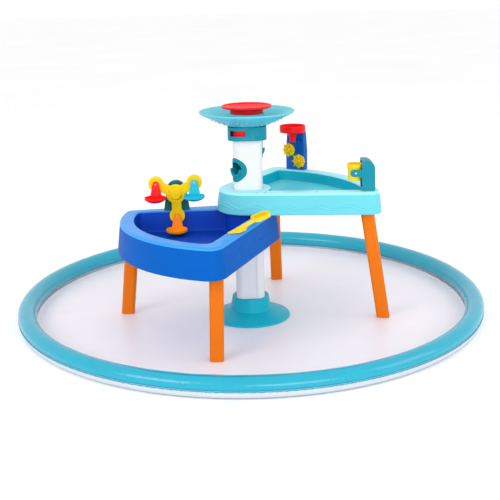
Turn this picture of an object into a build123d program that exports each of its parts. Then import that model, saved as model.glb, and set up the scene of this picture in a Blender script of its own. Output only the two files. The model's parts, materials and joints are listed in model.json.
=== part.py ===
"""Sand and water play table with a splash pad. Millimetres, +Z up, pad centre on the ground at the origin."""
import math
import os
from build123d import *

os.makedirs("parts", exist_ok=True)

# ---- driving dimensions -------------------------------------------------
PAD_R = 825.0          # outer radius of the pad ring
TUBE_R = 33.0          # tube radius
TUBE_Z = 31.5          # tube centre height (slightly flattened underneath)
SHEET_T = 2.0          # pad floor thickness
CX, CY = 0.0, -112.0   # column axis
COL_H = 48.7           # half width of the column
COL_R = 26.0           # its corner radius
WALL = 3.5             # moulded wall
FIT = 0.4              # clearance between moulded parts
UP_TOP, UP_BOT = 460.0, 386.0      # upper tray rim top / skirt bottom
LO_TOP, LO_BOT = 382.0, 282.0      # lower tray rim top / skirt bottom
UP_FLOOR, UP_TROUGH = 424.0, 408.0
LO_FLOOR = 309.0
DRAFT_UP, DRAFT_LO = 7.0, 11.3
ARM = 75.0             # spinner arm length
DISH_R = 158.5
BOWL_R = 83.6
BOSS_R = 77.0          # round boss of each tray about the column


def at(z, x=0.0, y=0.0):
    """Horizontal plane at height z, origin offset (x, y) from the column axis."""
    return Plane(origin=(CX + x, CY + y, z), x_dir=(1, 0, 0), z_dir=(0, 0, 1))


def pol(r, deg, cx=0.0, cy=0.0):
    return (cx + r * math.cos(math.radians(deg)), cy + r * math.sin(math.radians(deg)))


def save(builder, label):
    builder.part.label = label
    export_step(builder.part, "parts/%s.step" % label)


def save_shape(shape, label):
    shape.label = label
    export_step(shape, "parts/%s.step" % label)


# ---- splash pad ---------------------------------------------------------
RM = PAD_R - TUBE_R
half_flat = math.sqrt(TUBE_R ** 2 - TUBE_Z ** 2)
with BuildPart() as pad_ring:
    with BuildSketch(Plane.XZ) as s:
        with BuildLine() as l:
            ThreePointArc((RM - half_flat, 0), (RM, TUBE_Z + TUBE_R), (RM + half_flat, 0))
            Line((RM + half_flat, 0), (RM - half_flat, 0))
        make_face()
    revolve(axis=Axis.Z)
save(pad_ring, "pad_ring")

with BuildPart() as pad_floor:
    with BuildSketch(Plane.XY) as s:
        Circle(RM - half_flat - 2.5)
    extrude(amount=SHEET_T)
save(pad_floor, "pad_floor")

# inflation valve on the top of the ring, at the far side
VX, VY = pol(RM, 105)
with BuildPart() as valve_base:
    with BuildSketch(Plane(origin=(VX, VY, TUBE_Z + TUBE_R - 3.0))) as s:
        Circle(12)
    extrude(amount=4.5)
    with BuildSketch(Plane(origin=(VX, VY, TUBE_Z + TUBE_R + 1.5))) as s:
        Circle(6.5)
    extrude(amount=7)
    with BuildSketch(Plane(origin=(VX, VY, TUBE_Z + TUBE_R + 8.5))) as s:
        Circle(4)
    extrude(amount=-6, mode=Mode.SUBTRACT)
save(valve_base, "valve_base")

VT = TUBE_Z + TUBE_R + 8.8
with BuildPart() as valve_cap:
    with BuildSketch(Plane(origin=(VX, VY, VT))) as s:
        Circle(8.5)
        with Locations((9.5, 0)):
            Rectangle(7, 6)
    extrude(amount=2.5)
    with BuildSketch(Plane(origin=(VX, VY, VT))) as s:
        Circle(3.6)
    extrude(amount=-4)
save(valve_cap, "valve_cap")

# ---- centre column ------------------------------------------------------
with BuildPart() as base:
    with BuildSketch(Plane(origin=(CX, CY, 0), x_dir=(1, 0, 0), z_dir=(0, -1, 0))) as s:
        with BuildLine() as l:
            Polyline((0, 2), (136, 2), (136, 7), (133.5, 9), (72, 31), (70.5, 34), (63, 76), (61, 78), (0, 78), (0, 2))
        make_face()
    revolve(axis=Axis((CX, CY, 0), (0, 0, 1)))
    with BuildSketch(Plane(origin=(CX, CY, 0), x_dir=(1, 0, 0), z_dir=(0, -1, 0))) as s:
        with BuildLine() as l:
            Polyline((0, 2), (128, 2), (128, 5.5), (68, 27), (0, 27), (0, 2))
        make_face()
    revolve(axis=Axis((CX, CY, 0), (0, 0, 1)), mode=Mode.SUBTRACT)
    with BuildSketch(at(20)) as s:
        RectangleRounded(2 * (COL_H + FIT), 2 * (COL_H + FIT), COL_R + FIT)
    extrude(amount=70, mode=Mode.SUBTRACT)
save(base, "base_foot")

COL_LO_TOP = 402.0
SEAM_X = 22.0


def column_half(side):
    with BuildPart() as p:
        with BuildSketch(at(2.3)) as s:
            RectangleRounded(2 * COL_H, 2 * COL_H, COL_R)
            RectangleRounded(2 * (COL_H - WALL), 2 * (COL_H - WALL), COL_R - WALL, mode=Mode.SUBTRACT)
            if side > 0:
                with Locations((SEAM_X + 0.25 - 100, 0)):
                    Rectangle(200, 200, mode=Mode.SUBTRACT)
            else:
                with Locations((SEAM_X - 0.25 + 100, 0)):
                    Rectangle(200, 200, mode=Mode.SUBTRACT)
        extrude(amount=COL_LO_TOP - 2.3)
    return p


column_left = column_half(-1)
save(column_left, "column_lower_left")
column_right = column_half(1)
save(column_right, "column_lower_right")

with BuildPart() as coupler:
    with BuildSketch(at(366)) as s:
        RectangleRounded(2 * (COL_H - WALL - 0.3), 2 * (COL_H - WALL - 0.3), COL_R - WALL - 0.3)
        RectangleRounded(2 * (COL_H - WALL - 3.3), 2 * (COL_H - WALL - 3.3), COL_R - WALL - 3.3, mode=Mode.SUBTRACT)
    extrude(amount=72)
save(coupler, "column_coupler")


# window axes: the lower one faces the lower tray, the upper one the upper tray
def window_plane(deg, z, out):
    d = (math.cos(math.radians(deg)), math.sin(math.radians(deg)), 0)
    return Plane(origin=(CX + out * d[0], CY + out * d[1], z), x_dir=(-d[1], d[0], 0), z_dir=d)


WIN = {"lower": (222.0, 527.0, 34.0, 40.0), "upper": (34.0, 588.0, 30.0, 34.0)}

with BuildPart() as column_upper:
    with BuildSketch(at(COL_LO_TOP + 0.5)) as s:
        RectangleRounded(2 * COL_H, 2 * COL_H, COL_R)
        RectangleRounded(2 * (COL_H - WALL), 2 * (COL_H - WALL), COL_R - WALL, mode=Mode.SUBTRACT)
    extrude(amount=630 - COL_LO_TOP - 0.5)
    for deg, wz, wa, wb in WIN.values():
        with BuildSketch(window_plane(deg, wz, 20)) as s:
            Ellipse(wa, wb)
        extrude(amount=60, mode=Mode.SUBTRACT)
save(column_upper, "column_upper")


def window_frame(deg, wz, wa, wb):
    with BuildPart() as ring:
        with BuildSketch(window_plane(deg, wz, 26)) as s:
            Ellipse(wa - 0.4, wb - 0.4)
            Ellipse(wa - 9.5, wb - 12.5, mode=Mode.SUBTRACT)
        extrude(amount=60)
        with BuildSketch(at(450)) as s:
            RectangleRounded(2 * (COL_H + 2.5), 2 * (COL_H + 2.5), COL_R + 2.5)
        extrude(amount=250, mode=Mode.INTERSECT)
    return ring


def spout(deg, wz, wa, wb):
    """Curved chute that carries water out through the window."""
    a, b = wa - 10.0, wb - 13.0
    with BuildPart() as p:
        with BuildSketch(window_plane(deg, wz, 12)) as s:
            Ellipse(a, b)
            with Locations((0, 0.15 * b + 60)):
                Rectangle(200, 120, mode=Mode.SUBTRACT)
            with Locations((0, 0.15 * b)):
                Ellipse(a - 5, b * 0.72, mode=Mode.SUBTRACT)
        extrude(amount=46)
    return p


for key, (deg, wz, wa, wb) in WIN.items():
    save(window_frame(deg, wz, wa, wb), "window_frame_%s" % key)
    save(spout(deg, wz, wa, wb), "spout_%s" % key)

COLLAR_H, COLLAR_R = 64.5, 40.0
with BuildPart() as collar:
    with BuildSketch(at(627)) as s:
        RectangleRounded(2 * COLLAR_H, 2 * COLLAR_H, COLLAR_R)
    extrude(amount=44.6)
    with BuildSketch(at(630.5)) as s:
        RectangleRounded(2 * (COLLAR_H - WALL), 2 * (COLLAR_H - WALL), COLLAR_R - WALL)
    extrude(amount=60, mode=Mode.SUBTRACT)
    with BuildSketch(at(620)) as s:
        RectangleRounded(2 * (COL_H - WALL), 2 * (COL_H - WALL), COL_R - WALL)
    extrude(amount=20, mode=Mode.SUBTRACT)
    with BuildSketch(at(620)) as s:
        RectangleRounded(2 * (COL_H + FIT), 2 * (COL_H + FIT), COL_R + FIT)
    extrude(amount=10.4, mode=Mode.SUBTRACT)
    with BuildSketch(Plane(origin=(CX - 32, CY - 90, 651.5), x_dir=(1, 0, 0), z_dir=(0, 1, 0))) as s:
        RectangleRounded(54, 19, 3)
    extrude(amount=45, mode=Mode.SUBTRACT)
save(collar, "dish_collar")

# rain dish: revolved shell with drip nozzles under it
AX = Axis((CX, CY, 0), (0, 0, 1))
PROFILE = Plane(origin=(CX, CY, 0), x_dir=(1, 0, 0), z_dir=(0, -1, 0))
with BuildPart() as dish:
    with BuildSketch(PROFILE) as s:
        with BuildLine() as l:
            Polyline((20.4, 672), (60, 672), (76, 675), (155, 712), (158.5, 716), (158.5, 718.5), (156.5, 720), (152, 717.5), (82, 683.5),
                     (59, 683.5), (58.5, 711), (20.4, 711), (20.4, 672))
        make_face()
    revolve(axis=AX)
    with BuildSketch(at(689)) as s:
        with PolarLocations(118, 24):
            Circle(3)
    extrude(amount=8)
    with BuildSketch(at(679)) as s:
        with PolarLocations(97, 18):
            Circle(3)
    extrude(amount=8)
save(dish, "rain_dish")

with BuildPart() as bowl:          # dish of the top bowl
    with BuildSketch(PROFILE) as s:
        with BuildLine() as l:
            Polyline((32.2, 724), (55.5, 724), (80, 729.5), (83.6, 731), (83.6, 736), (82, 737.5), (79, 736.5), (74, 732.5), (50, 727.5), (32.2, 724))
        make_face()
    revolve(axis=AX)
save(bowl, "top_bowl")

with BuildPart() as neck:          # its hub and drain tube, turning in the rain dish
    with BuildSketch(PROFILE) as s:
        with BuildLine() as l:
            Polyline((14, 640), (20, 640), (20, 711.6), (54.5, 711.6), (55.5, 724), (32.2, 724), (17, 721), (14, 719), (14, 640))
        make_face()
    revolve(axis=AX)
save(neck, "bowl_neck")

with BuildPart() as drum:
    with BuildSketch(PROFILE) as s:
        with BuildLine() as l:
            Polyline((19.8, 664), (57, 664), (57, 634), (54, 634), (54, 661), (23, 661), (23, 646), (19.8, 646), (19.8, 664))
        make_face()
    revolve(axis=AX)
    with BuildSketch(PROFILE) as s:
        with BuildLine() as l:
            Polyline((19.8, 640), (42, 634), (42, 637), (19.8, 643), (19.8, 640))
        make_face()
    with BuildSketch(at(634, 0, 0)) as s:
        with PolarLocations(39, 3):
            Rectangle(34, 3)
    extrude(amount=29)
save(drum, "diverter_drum")


# ---- trays --------------------------------------------------------------
def wedge(z, grow, ra, ac, cr, d1, d2, f1, f2):
    """Wedge around the column: two straight sides, a big arc, rounded corners."""
    t1, t2 = pol(ra, d1 - 90), pol(ra, d2 + 90)

    def hit(p, deg):
        ux, uy = math.cos(math.radians(deg)), math.sin(math.radians(deg))
        px, py = p[0] - ac[0], p[1] - ac[1]
        b = px * ux + py * uy
        c = px * px + py * py - cr * cr
        t = -b + math.sqrt(b * b - c)
        return (p[0] + t * ux, p[1] + t * uy)

    p1, p2 = hit(t1, d1), hit(t2, d2)
    a1 = math.degrees(math.atan2(p1[1] - ac[1], p1[0] - ac[0]))
    a2 = math.degrees(math.atan2(p2[1] - ac[1], p2[0] - ac[0]))
    if a2 < a1:
        a2 += 360.0
    mid = pol(cr, (a1 + a2) / 2, ac[0], ac[1])
    with BuildSketch(at(z)) as s:
        with BuildLine() as l:
            Line(t1, p1)
            ThreePointArc(p1, mid, p2)
            Line(p2, t2)
            ThreePointArc(t2, pol(ra, (d1 + d2) / 2 + 180), t1)
        make_face()
        fillet(s.vertices().sort_by_distance(at(z).from_local_coords((p1[0], p1[1], 0)))[0:1], f1)
        fillet(s.vertices().sort_by_distance(at(z).from_local_coords((p2[0], p2[1], 0)))[0:1], f2)
        if abs(grow) > 0.01:
            offset(amount=grow, kind=Kind.ARC, mode=Mode.REPLACE)
    return s.sketch


def upper_outline(z, grow):
    return wedge(z, grow, 100.0, (-54.6, -101.8), 488.0, -3.5, 60.0, 34, 36)


def lower_outline(z, grow):
    return wedge(z, grow, 94.2, (-3.2, -68.2), 425.6, 188.6, 248.1, 26.4, 43.7)


LEGS = {   # foot centre and top centre, relative to the column axis
    "front": ((-109.0, -411.0), (-102.6, -390.8), "lo"),
    "left": ((-438.0, 51.0), (-402.0, 8.0), "lo"),
    "right": ((458.0, -48.0), (391.0, -84.0), "up"),
    "back": ((104.0, 414.0), (92.0, 322.0), "up"),
}
LEG_W, LEG_D = 44.0, 34.0
LEG_IN = {"lo": 12.5, "up": 17.0}   # how far a leg enters its socket


def leg_dir(key):
    (fx, fy), (tx, ty), tray = LEGS[key]
    bot = LO_BOT if tray == "lo" else UP_BOT
    return Vector(tx - fx, ty - fy, bot + LEG_IN[tray] - SHEET_T), bot


def leg_sketch(key, z, extra):
    (fx, fy), (tx, ty), tray = LEGS[key]
    v, bot = leg_dir(key)
    t = (z - SHEET_T) / v.Z
    face = {"front": 0.0, "left": -5.0, "right": -8.0, "back": 0.0}[key]
    with BuildSketch(at(z, fx + v.X * t, fy + v.Y * t)) as s:
        Rectangle(LEG_W + 2 * extra, LEG_D + 2 * extra, rotation=face)
        chamfer(s.vertices(), 6)
    return s.sketch


def leg(key):
    v, bot = leg_dir(key)
    with BuildPart() as p:
        add(leg_sketch(key, SHEET_T, 0))
        extrude(amount=v.length, dir=v.normalized())
    return p


for key in LEGS:
    save(leg(key), "leg_%s" % key)


def socket_cut(part, key, bot):
    """Remove the leg's pocket (leg profile with clearance) from a tray."""
    v, _ = leg_dir(key)
    with BuildPart() as c:
        add(leg_sketch(key, SHEET_T, 0.4))
        k = (bot + LEG_IN[LEGS[key][2]] + 0.4 - SHEET_T) / v.Z
        extrude(amount=v.length * k, dir=v.normalized())
    return c.part


# upper tray
up_top, up_bot = upper_outline(UP_TOP, 0), upper_outline(UP_BOT, DRAFT_UP)
up_in = upper_outline(UP_BOT - 1, -1.5)
up_basin = upper_outline(UP_FLOOR, -47)
leg_keys = {"up": ["right", "back"], "lo": ["front", "left"]}


def pocket_pad(key, z0, z1):
    (fx, fy), (tx, ty), tray = LEGS[key]
    with BuildPart() as b:
        with BuildSketch(at(z0, tx, ty)) as s:
            RectangleRounded(66, 56, 10)
        extrude(amount=z1 - z0)
    return b.part


with BuildPart() as basin_up_cut:
    add(up_basin)
    extrude(amount=60)
    with BuildSketch(at(UP_FLOOR - 5)) as s:
        Circle(BOSS_R)
    extrude(amount=80, mode=Mode.SUBTRACT)
with BuildPart() as trough_cut:
    with BuildSketch(at(UP_TROUGH)) as s:
        with BuildLine() as l:
            Polyline((60, -200), (430, -200), (150, 60), (120, 120), (60, 60), (60, -200))
        make_face()
    extrude(amount=40)
    add(upper_outline(UP_TROUGH, -50), mode=Mode.PRIVATE)
trough_region = upper_outline(UP_TROUGH, -50)
with BuildPart() as trough_limit:
    add(trough_region)
    extrude(amount=60)
    with BuildSketch(at(UP_TROUGH - 5)) as s:
        Circle(BOSS_R + 4)
    extrude(amount=80, mode=Mode.SUBTRACT)
trough = trough_cut.part & trough_limit.part

with BuildPart() as under_up:
    add(up_in)
    extrude(amount=UP_TROUGH - 4 - UP_BOT + 1)
with BuildPart() as tray_up_blank:
    add(up_bot)
    add(up_top)
    loft(ruled=True)


def hole_keep(z0, z1):
    with BuildPart() as p:
        with BuildSketch(at(z0)) as s:
            Circle(76)
        extrude(amount=z1 - z0)
    return p.part


def hole_cut(z0, z1):
    with BuildPart() as p:
        with BuildSketch(at(z0)) as s:
            RectangleRounded(2 * (COL_H + FIT), 2 * (COL_H + FIT), COL_R + FIT)
        extrude(amount=z1 - z0)
    return p.part


tray_up = tray_up_blank.part - basin_up_cut.part - trough
hollow = under_up.part - hole_keep(UP_BOT - 5, UP_TOP)
for k in leg_keys["up"]:
    hollow = hollow - pocket_pad(k, UP_BOT - 5, UP_TOP + 5)
tray_up = tray_up - hollow - hole_cut(UP_BOT - 5, UP_TOP + 5)
for k in leg_keys["up"]:
    tray_up = tray_up - socket_cut(tray_up, k, UP_BOT)
save_shape(tray_up, "tray_upper")

# lower tray
lo_top, lo_bot = lower_outline(LO_TOP, 0), lower_outline(LO_BOT, DRAFT_LO)
with BuildPart() as tray_lo_blank:
    add(lo_bot)
    add(lo_top)
    loft(ruled=True)
BACK_EDGE = ((-303.0, 6.0), (-150.0, 12.0))    # two points of the basin's straight inner back edge
slope = (BACK_EDGE[1][1] - BACK_EDGE[0][1]) / (BACK_EDGE[1][0] - BACK_EDGE[0][0])


def back_y(x):
    return BACK_EDGE[0][1] + slope * (x - BACK_EDGE[0][0])


def right_pt(t):
    """Point of the basin's straight right edge, t from the column's side."""
    x, y = pol(94.2 - 47.0, 338.1)
    return (x + t * math.cos(math.radians(248.1)), y + t * math.sin(math.radians(248.1)))


APEX = right_pt(-40.7)
AC_LO, BASIN_R = (-3.2, -68.2), 425.6 - 47.0
with BuildPart() as basin_lo_cut:
    with BuildSketch(at(LO_FLOOR)) as s:
        with Locations(AC_LO):
            Circle(BASIN_R)
        with BuildLine() as l:
            Polyline(APEX, (-600, back_y(-600)), (-600, -700), right_pt(720), APEX)
        make_face(mode=Mode.INTERSECT)
        for p, r in (((-375.0, back_y(-375.0)), 20), ((-121.2, -428.0), 20)):
            fillet(s.vertices().sort_by_distance(at(LO_FLOOR).from_local_coords((p[0], p[1], 0)))[0:1], r)
        Circle(BOSS_R, mode=Mode.SUBTRACT)
    extrude(amount=90)
with BuildPart() as under_lo:
    add(lower_outline(LO_BOT - 1, -2))
    extrude(amount=LO_FLOOR - 4 - LO_BOT + 1)
hollow_lo = under_lo.part - hole_keep(LO_BOT - 5, LO_TOP)
for k in leg_keys["lo"]:
    hollow_lo = hollow_lo - pocket_pad(k, LO_BOT - 5, LO_FLOOR + 4)
tray_lo = tray_lo_blank.part - basin_lo_cut.part - hollow_lo - hole_cut(LO_BOT - 5, LO_TOP + 5)
for k in leg_keys["lo"]:
    tray_lo = tray_lo - socket_cut(tray_lo, k, LO_BOT)
save_shape(tray_lo, "tray_lower")

# ---- spinner on the lower tray ------------------------------------------
SX, SZ = -246.0, 443.0            # hub position (x from the column axis, height)
POST_Y = 24.0                    # centre of the arch post's thickness
WHEEL_Y0, WHEEL_T = 2.0, 10.0   # wheel back face y and thickness (towards -Y)


def face_plane(y, x=0.0, z=0.0):
    """Vertical plane facing -Y; local x = +X, local y = +Z."""
    return Plane(origin=(CX + x, CY + y, z), x_dir=(1, 0, 0), z_dir=(0, -1, 0))


with BuildPart() as spinner_post:
    with BuildSketch(face_plane(POST_Y + 8, SX, 0)) as s:
        with BuildLine() as l:
            Line((-44, LO_TOP + 0.3), (44, LO_TOP + 0.3))
            Line((44, LO_TOP + 0.3), (33, SZ + 12))
            ThreePointArc((33, SZ + 12), (0, SZ + 42), (-33, SZ + 12))
            Line((-33, SZ + 12), (-44, LO_TOP + 0.3))
        make_face()
        with Locations((0, LO_TOP + 14)):
            SlotOverall(60, 30, rotation=90, mode=Mode.SUBTRACT)
    extrude(amount=16)
    with BuildSketch(face_plane(POST_Y - 8, SX, SZ)) as s:
        Circle(13)
    extrude(amount=POST_Y - 8 - WHEEL_Y0 - 1)
    with BuildSketch(face_plane(POST_Y + 8, SX, SZ)) as s:
        Circle(4)
    extrude(amount=30, mode=Mode.SUBTRACT)
save(spinner_post, "spinner_post")

with BuildPart() as spinner_axle:
    with BuildSketch(face_plane(POST_Y + 9, SX, SZ)) as s:
        Circle(3.98)
    extrude(amount=POST_Y + 9 - (WHEEL_Y0 - WHEEL_T) + 1.5)
    with BuildSketch(face_plane(POST_Y + 11.6, SX, SZ)) as s:
        Circle(8)
    extrude(amount=3.3)
save(spinner_axle, "spinner_axle")

PHASE = 31.6
ARMS = [PHASE + 120 * i for i in range(3)]
with BuildPart() as spinner_wheel:
    with BuildSketch(face_plane(WHEEL_Y0, SX, SZ)) as s:
        with PolarLocations(ARM, 3, start_angle=PHASE):
            Circle(26)
        with PolarLocations(ARM / 2, 3, start_angle=PHASE):
            Rectangle(ARM, 33)
        Circle(33)
        Circle(4.06, mode=Mode.SUBTRACT)
    extrude(amount=WHEEL_T)
    with BuildSketch(face_plane(WHEEL_Y0 - WHEEL_T, SX, SZ)) as s:
        with PolarLocations(ARM, 3, start_angle=PHASE):
            Circle(3)
    extrude(amount=11)
save(spinner_wheel, "spinner_wheel")

with BuildPart() as spinner_cap:
    with BuildSketch(face_plane(WHEEL_Y0 - WHEEL_T, SX, SZ)) as s:
        Circle(19)
        Circle(4.4, mode=Mode.SUBTRACT)
    extrude(amount=4)
    with BuildSketch(face_plane(WHEEL_Y0 - WHEEL_T - 3, SX, SZ)) as s:
        Circle(17)
    extrude(amount=3)
save(spinner_cap, "spinner_cap")

CUP_R, CUP_DROP, CUP_H = 36.0, 35.8, 17.0
HANG_Y0, HANG_T = WHEEL_Y0 - WHEEL_T - 2.5, 6.0
CUP_Y = HANG_Y0 - HANG_T - 31.0


def cup(i):
    px, pz = pol(ARM, ARMS[i], SX, SZ)
    ax = Axis((CX + px, CY + CUP_Y, 0), (0, 0, 1))
    top = pz - CUP_DROP
    with BuildPart() as p:
        with BuildSketch(Plane(origin=(CX + px, CY + CUP_Y, 0), x_dir=(1, 0, 0), z_dir=(0, -1, 0))) as s:
            with BuildLine() as l:
                Polyline((0, top - CUP_H), (20, top - CUP_H), (29, top - CUP_H + 4), (33, top - 8.5), (CUP_R, top - 8), (CUP_R, top), (33, top),
                         (33, top - 7), (30, top - 8.5), (26.5, top - 11), (18, top - 13.5), (0, top - 13.5), (0, top - CUP_H))
            make_face()
        revolve(axis=ax)
        with BuildSketch(face_plane(HANG_Y0, px, pz)) as s:
            with BuildLine() as l:
                Line((-9, 4), (-19, -CUP_DROP + 1))
                Line((-19, -CUP_DROP + 1), (-17, -CUP_DROP - 8))
                Line((-17, -CUP_DROP - 8), (17, -CUP_DROP - 8))
                Line((17, -CUP_DROP - 8), (19, -CUP_DROP + 1))
                Line((19, -CUP_DROP + 1), (9, 4))
                ThreePointArc((9, 4), (0, 12), (-9, 4))
            make_face()
            Circle(3.06, mode=Mode.SUBTRACT)
        extrude(amount=HANG_T)
    return p


for i, name in enumerate(["cup_teal", "cup_red", "cup_orange"]):
    save(cup(i), name)

# ---- tower on the upper tray --------------------------------------------
TA = -28.0
TXC, TYC = 181.0, 304.0
c28, s28 = math.cos(math.radians(TA)), math.sin(math.radians(TA))


def tower_xy(lx, ly):
    return (CX + TXC + lx * c28 - ly * s28, CY + TYC + lx * s28 + ly * c28)


def tower_plan(z, lx=0.0, ly=0.0):
    x, y = tower_xy(lx, ly)
    return Plane(origin=(x, y, z), x_dir=(c28, s28, 0), z_dir=(0, 0, 1))


def tower_face(ly, lx=0.0, z=0.0):
    """Plane facing the basin; local x along the tower, local y up."""
    x, y = tower_xy(lx, ly)
    return Plane(origin=(x, y, z), x_dir=(c28, s28, 0), z_dir=(s28, -c28, 0))


T0 = UP_TOP + 0.3
with BuildPart() as tower:
    with BuildSketch(tower_face(14)) as s:
        with BuildLine() as l:
            Polyline((-36, T0), (36, T0), (36, T0 + 70), (31, T0 + 138), (-31, T0 + 138), (-36, T0 + 70), (-36, T0))
        make_face()
    extrude(amount=28)
    with BuildSketch(tower_face(-10, 16, 549)) as s:
        RectangleRounded(19, 52, 3)
    extrude(amount=8, mode=Mode.SUBTRACT)
    with BuildSketch(tower_face(-10, 16, 565)) as s:
        Circle(6)
    extrude(amount=5)
    with BuildSketch(tower_face(9)) as s:
        with BuildLine() as l:
            Polyline((-30, T0 - 1), (30, T0 - 1), (30, T0 + 70), (25, T0 + 128), (-25, T0 + 128), (-30, T0 + 70), (-30, T0 - 1))
        make_face()
    extrude(amount=15, mode=Mode.SUBTRACT)
save(tower, "tower")

W1, W2 = (-22.2, 533.0), (18.0, 493.5)
ang = math.degrees(math.atan2(W2[1] - W1[1], W2[0] - W1[0]))
with BuildPart() as bracket:
    with BuildSketch(tower_face(-14.3, (W1[0] + W2[0]) / 2, (W1[1] + W2[1]) / 2)) as s:
        SlotCenterToCenter(56.3, 15, rotation=ang)
    extrude(amount=3)
    with BuildSketch(tower_face(-17.3)) as s:
        with Locations(W1, W2):
            Circle(2.5)
    extrude(amount=13)
save(bracket, "tower_bracket")


def paddle(c):
    with BuildPart() as p:
        with BuildSketch(tower_face(-17.8, c[0], c[1])) as s:
            Circle(22.5)
            Circle(2.56, mode=Mode.SUBTRACT)
        extrude(amount=2)
        with BuildSketch(tower_face(-19.8, c[0], c[1])) as s:
            Circle(6)
            with PolarLocations(15, 8):
                Rectangle(21, 1.8)
            Circle(2.56, mode=Mode.SUBTRACT)
        extrude(amount=9)
    return p


save(paddle(W1), "paddle_upper")
save(paddle(W2), "paddle_lower")

FX, FY = tower_xy(0.5, -35.5)
with BuildPart() as funnel:
    FP = Plane(origin=(FX, FY, 0), x_dir=(1, 0, 0), z_dir=(0, -1, 0))
    with BuildSketch(FP) as s:
        with BuildLine() as l:
            Polyline((8, 566), (10.5, 566), (11, 584), (20, 599), (45, 602), (46.5, 604), (46.5, 626), (42.5, 626), (42.5, 606),
                     (18, 602), (8, 586), (8, 566))
        make_face()
    revolve(axis=Axis((FX, FY, 0), (0, 0, 1)))
    with BuildSketch(tower_plan(598.6, 0, 0)) as s:
        Rectangle(56, 22)
    extrude(amount=5)
    with BuildSketch(Plane(origin=(FX, FY, 590))) as s:
        Circle(20)
    extrude(amount=12.5, mode=Mode.SUBTRACT)
    with BuildSketch(FP) as s:
        with BuildLine() as l:
            Polyline((8, 566), (10.5, 566), (11, 584), (21, 599), (21, 602.6), (18, 602), (8, 586), (8, 566))
        make_face()
    revolve(axis=Axis((FX, FY, 0), (0, 0, 1)))
save(funnel, "funnel")

# ---- forked post with tipping bucket ------------------------------------
BX, BY, BZ = 353.0, -70.0, 519.4
PX0, PX1 = 372.0, 417.0
HW = 31.0
P0 = UP_TOP + 0.3
with BuildPart() as bucket_post:
    with BuildSketch(face_plane(BY + HW)) as s:
        with BuildLine() as l:
            Polyline((PX0 + 4, P0), (PX1, P0), (PX1 - 1, P0 + 70))
            ThreePointArc((PX1 - 1, P0 + 70), (PX1 - 10, P0 + 93), (PX0 + 16, P0 + 101))
            Polyline((PX0 + 16, P0 + 101), (PX0 + 2, P0 + 101), (PX0, P0 + 50), (PX0 + 4, P0))
        make_face()
        with Locations(((BX + PX0 + 6) / 2 - 3, BZ)):
            SlotOverall(PX0 + 6 - BX + 30, 24)
    extrude(amount=2 * HW)
    with BuildSketch(face_plane(BY + HW - 4)) as s:
        with BuildLine() as l:
            Polyline((BX - 40, P0 - 1), (395, P0 - 1), (395, P0 + 84), (389, P0 + 96.5), (BX - 40, P0 + 96.5), (BX - 40, P0 - 1))
        make_face()
    extrude(amount=2 * HW - 8, mode=Mode.SUBTRACT)
    with BuildSketch(face_plane(BY + HW, BX, BZ)) as s:
        Circle(3.06)
    extrude(amount=2 * HW, mode=Mode.SUBTRACT)
save(bucket_post, "bucket_post")

with BuildPart() as bucket:
    with BuildSketch(Plane(origin=(CX + BX, CY + BY, 0), x_dir=(1, 0, 0), z_dir=(0, -1, 0))) as s:
        with BuildLine() as l:
            Polyline((0, 492), (20.5, 492), (22, 494), (24.3, 536), (26.2, 537), (26.2, 547), (23.2, 547), (22.4, 536), (19.8, 498), (0, 498), (0, 492))
        make_face()
    revolve(axis=Axis((CX + BX, CY + BY, 0), (0, 0, 1)))
    with BuildSketch(face_plane(BY + HW, BX, BZ)) as s:
        Circle(3.0)
    extrude(amount=8.4)
    with BuildSketch(face_plane(BY - HW, BX, BZ)) as s:
        Circle(3.0)
    extrude(amount=-8.4)
save(bucket, "tipping_bucket")

# ---- loose toy scoop, resting on the lower tray's rim --------------------
SA = math.radians(51.0)           # heading seen from above
SP = math.radians(5.0)            # pitch, bowl end up
sx, sy = math.cos(SA), math.sin(SA)
SO = (CX - 51.0, CY - 319.0, LO_TOP + 1.5)
XD = (sx * math.cos(SP), sy * math.cos(SP), math.sin(SP))
ZD = (-sx * math.sin(SP), -sy * math.sin(SP), math.cos(SP))
SCOOP = Plane(origin=SO, x_dir=XD, z_dir=ZD)
SIDE = Plane(origin=SO, x_dir=XD, z_dir=(sy, -sx, 0))
BL, BLL = 108.0, 78.0             # start and length of the bowl along the shaft
with BuildPart() as scoop:
    with BuildSketch(SCOOP) as s:
        with BuildLine() as l:
            Polyline((-13, 16), (13, -16), (46, -17), (58, -8), (58, 8), (42, 17), (-13, 16))
        make_face()
        fillet(s.vertices(), 4)
    extrude(amount=3)
    with BuildSketch(SCOOP) as s:
        with Locations((36, 0)):
            RectangleRounded(26, 20, 6)
    extrude(amount=8)
    with BuildSketch(SIDE.offset(-6)) as s:
        with BuildLine() as l:
            Polyline((34, 1), (58, 1), (78, 5), (BL + 2.8, 7), (BL + 2.8, 14), (76, 13), (56, 12), (34, 9), (34, 1))
        make_face()
    extrude(amount=12)
    with BuildSketch(SCOOP.offset(4)) as s:
        with Locations((BL + BLL / 2, 4)):
            RectangleRounded(BLL, 36, 16)
    extrude(amount=14)
    with BuildSketch(SCOOP.offset(7)) as s:
        with Locations((BL + BLL / 2, 4)):
            RectangleRounded(BLL - 6, 30, 13)
    extrude(amount=30, mode=Mode.SUBTRACT)
save(scoop, "toy_scoop")
print("done")
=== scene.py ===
"""Looks of the sand and water play table with its splash pad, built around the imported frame."""
import json
import math
import bpy
import bmesh
import numpy as np
from mathutils import Vector, Matrix, noise
from mathutils.geometry import delaunay_2d_cdt


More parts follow.
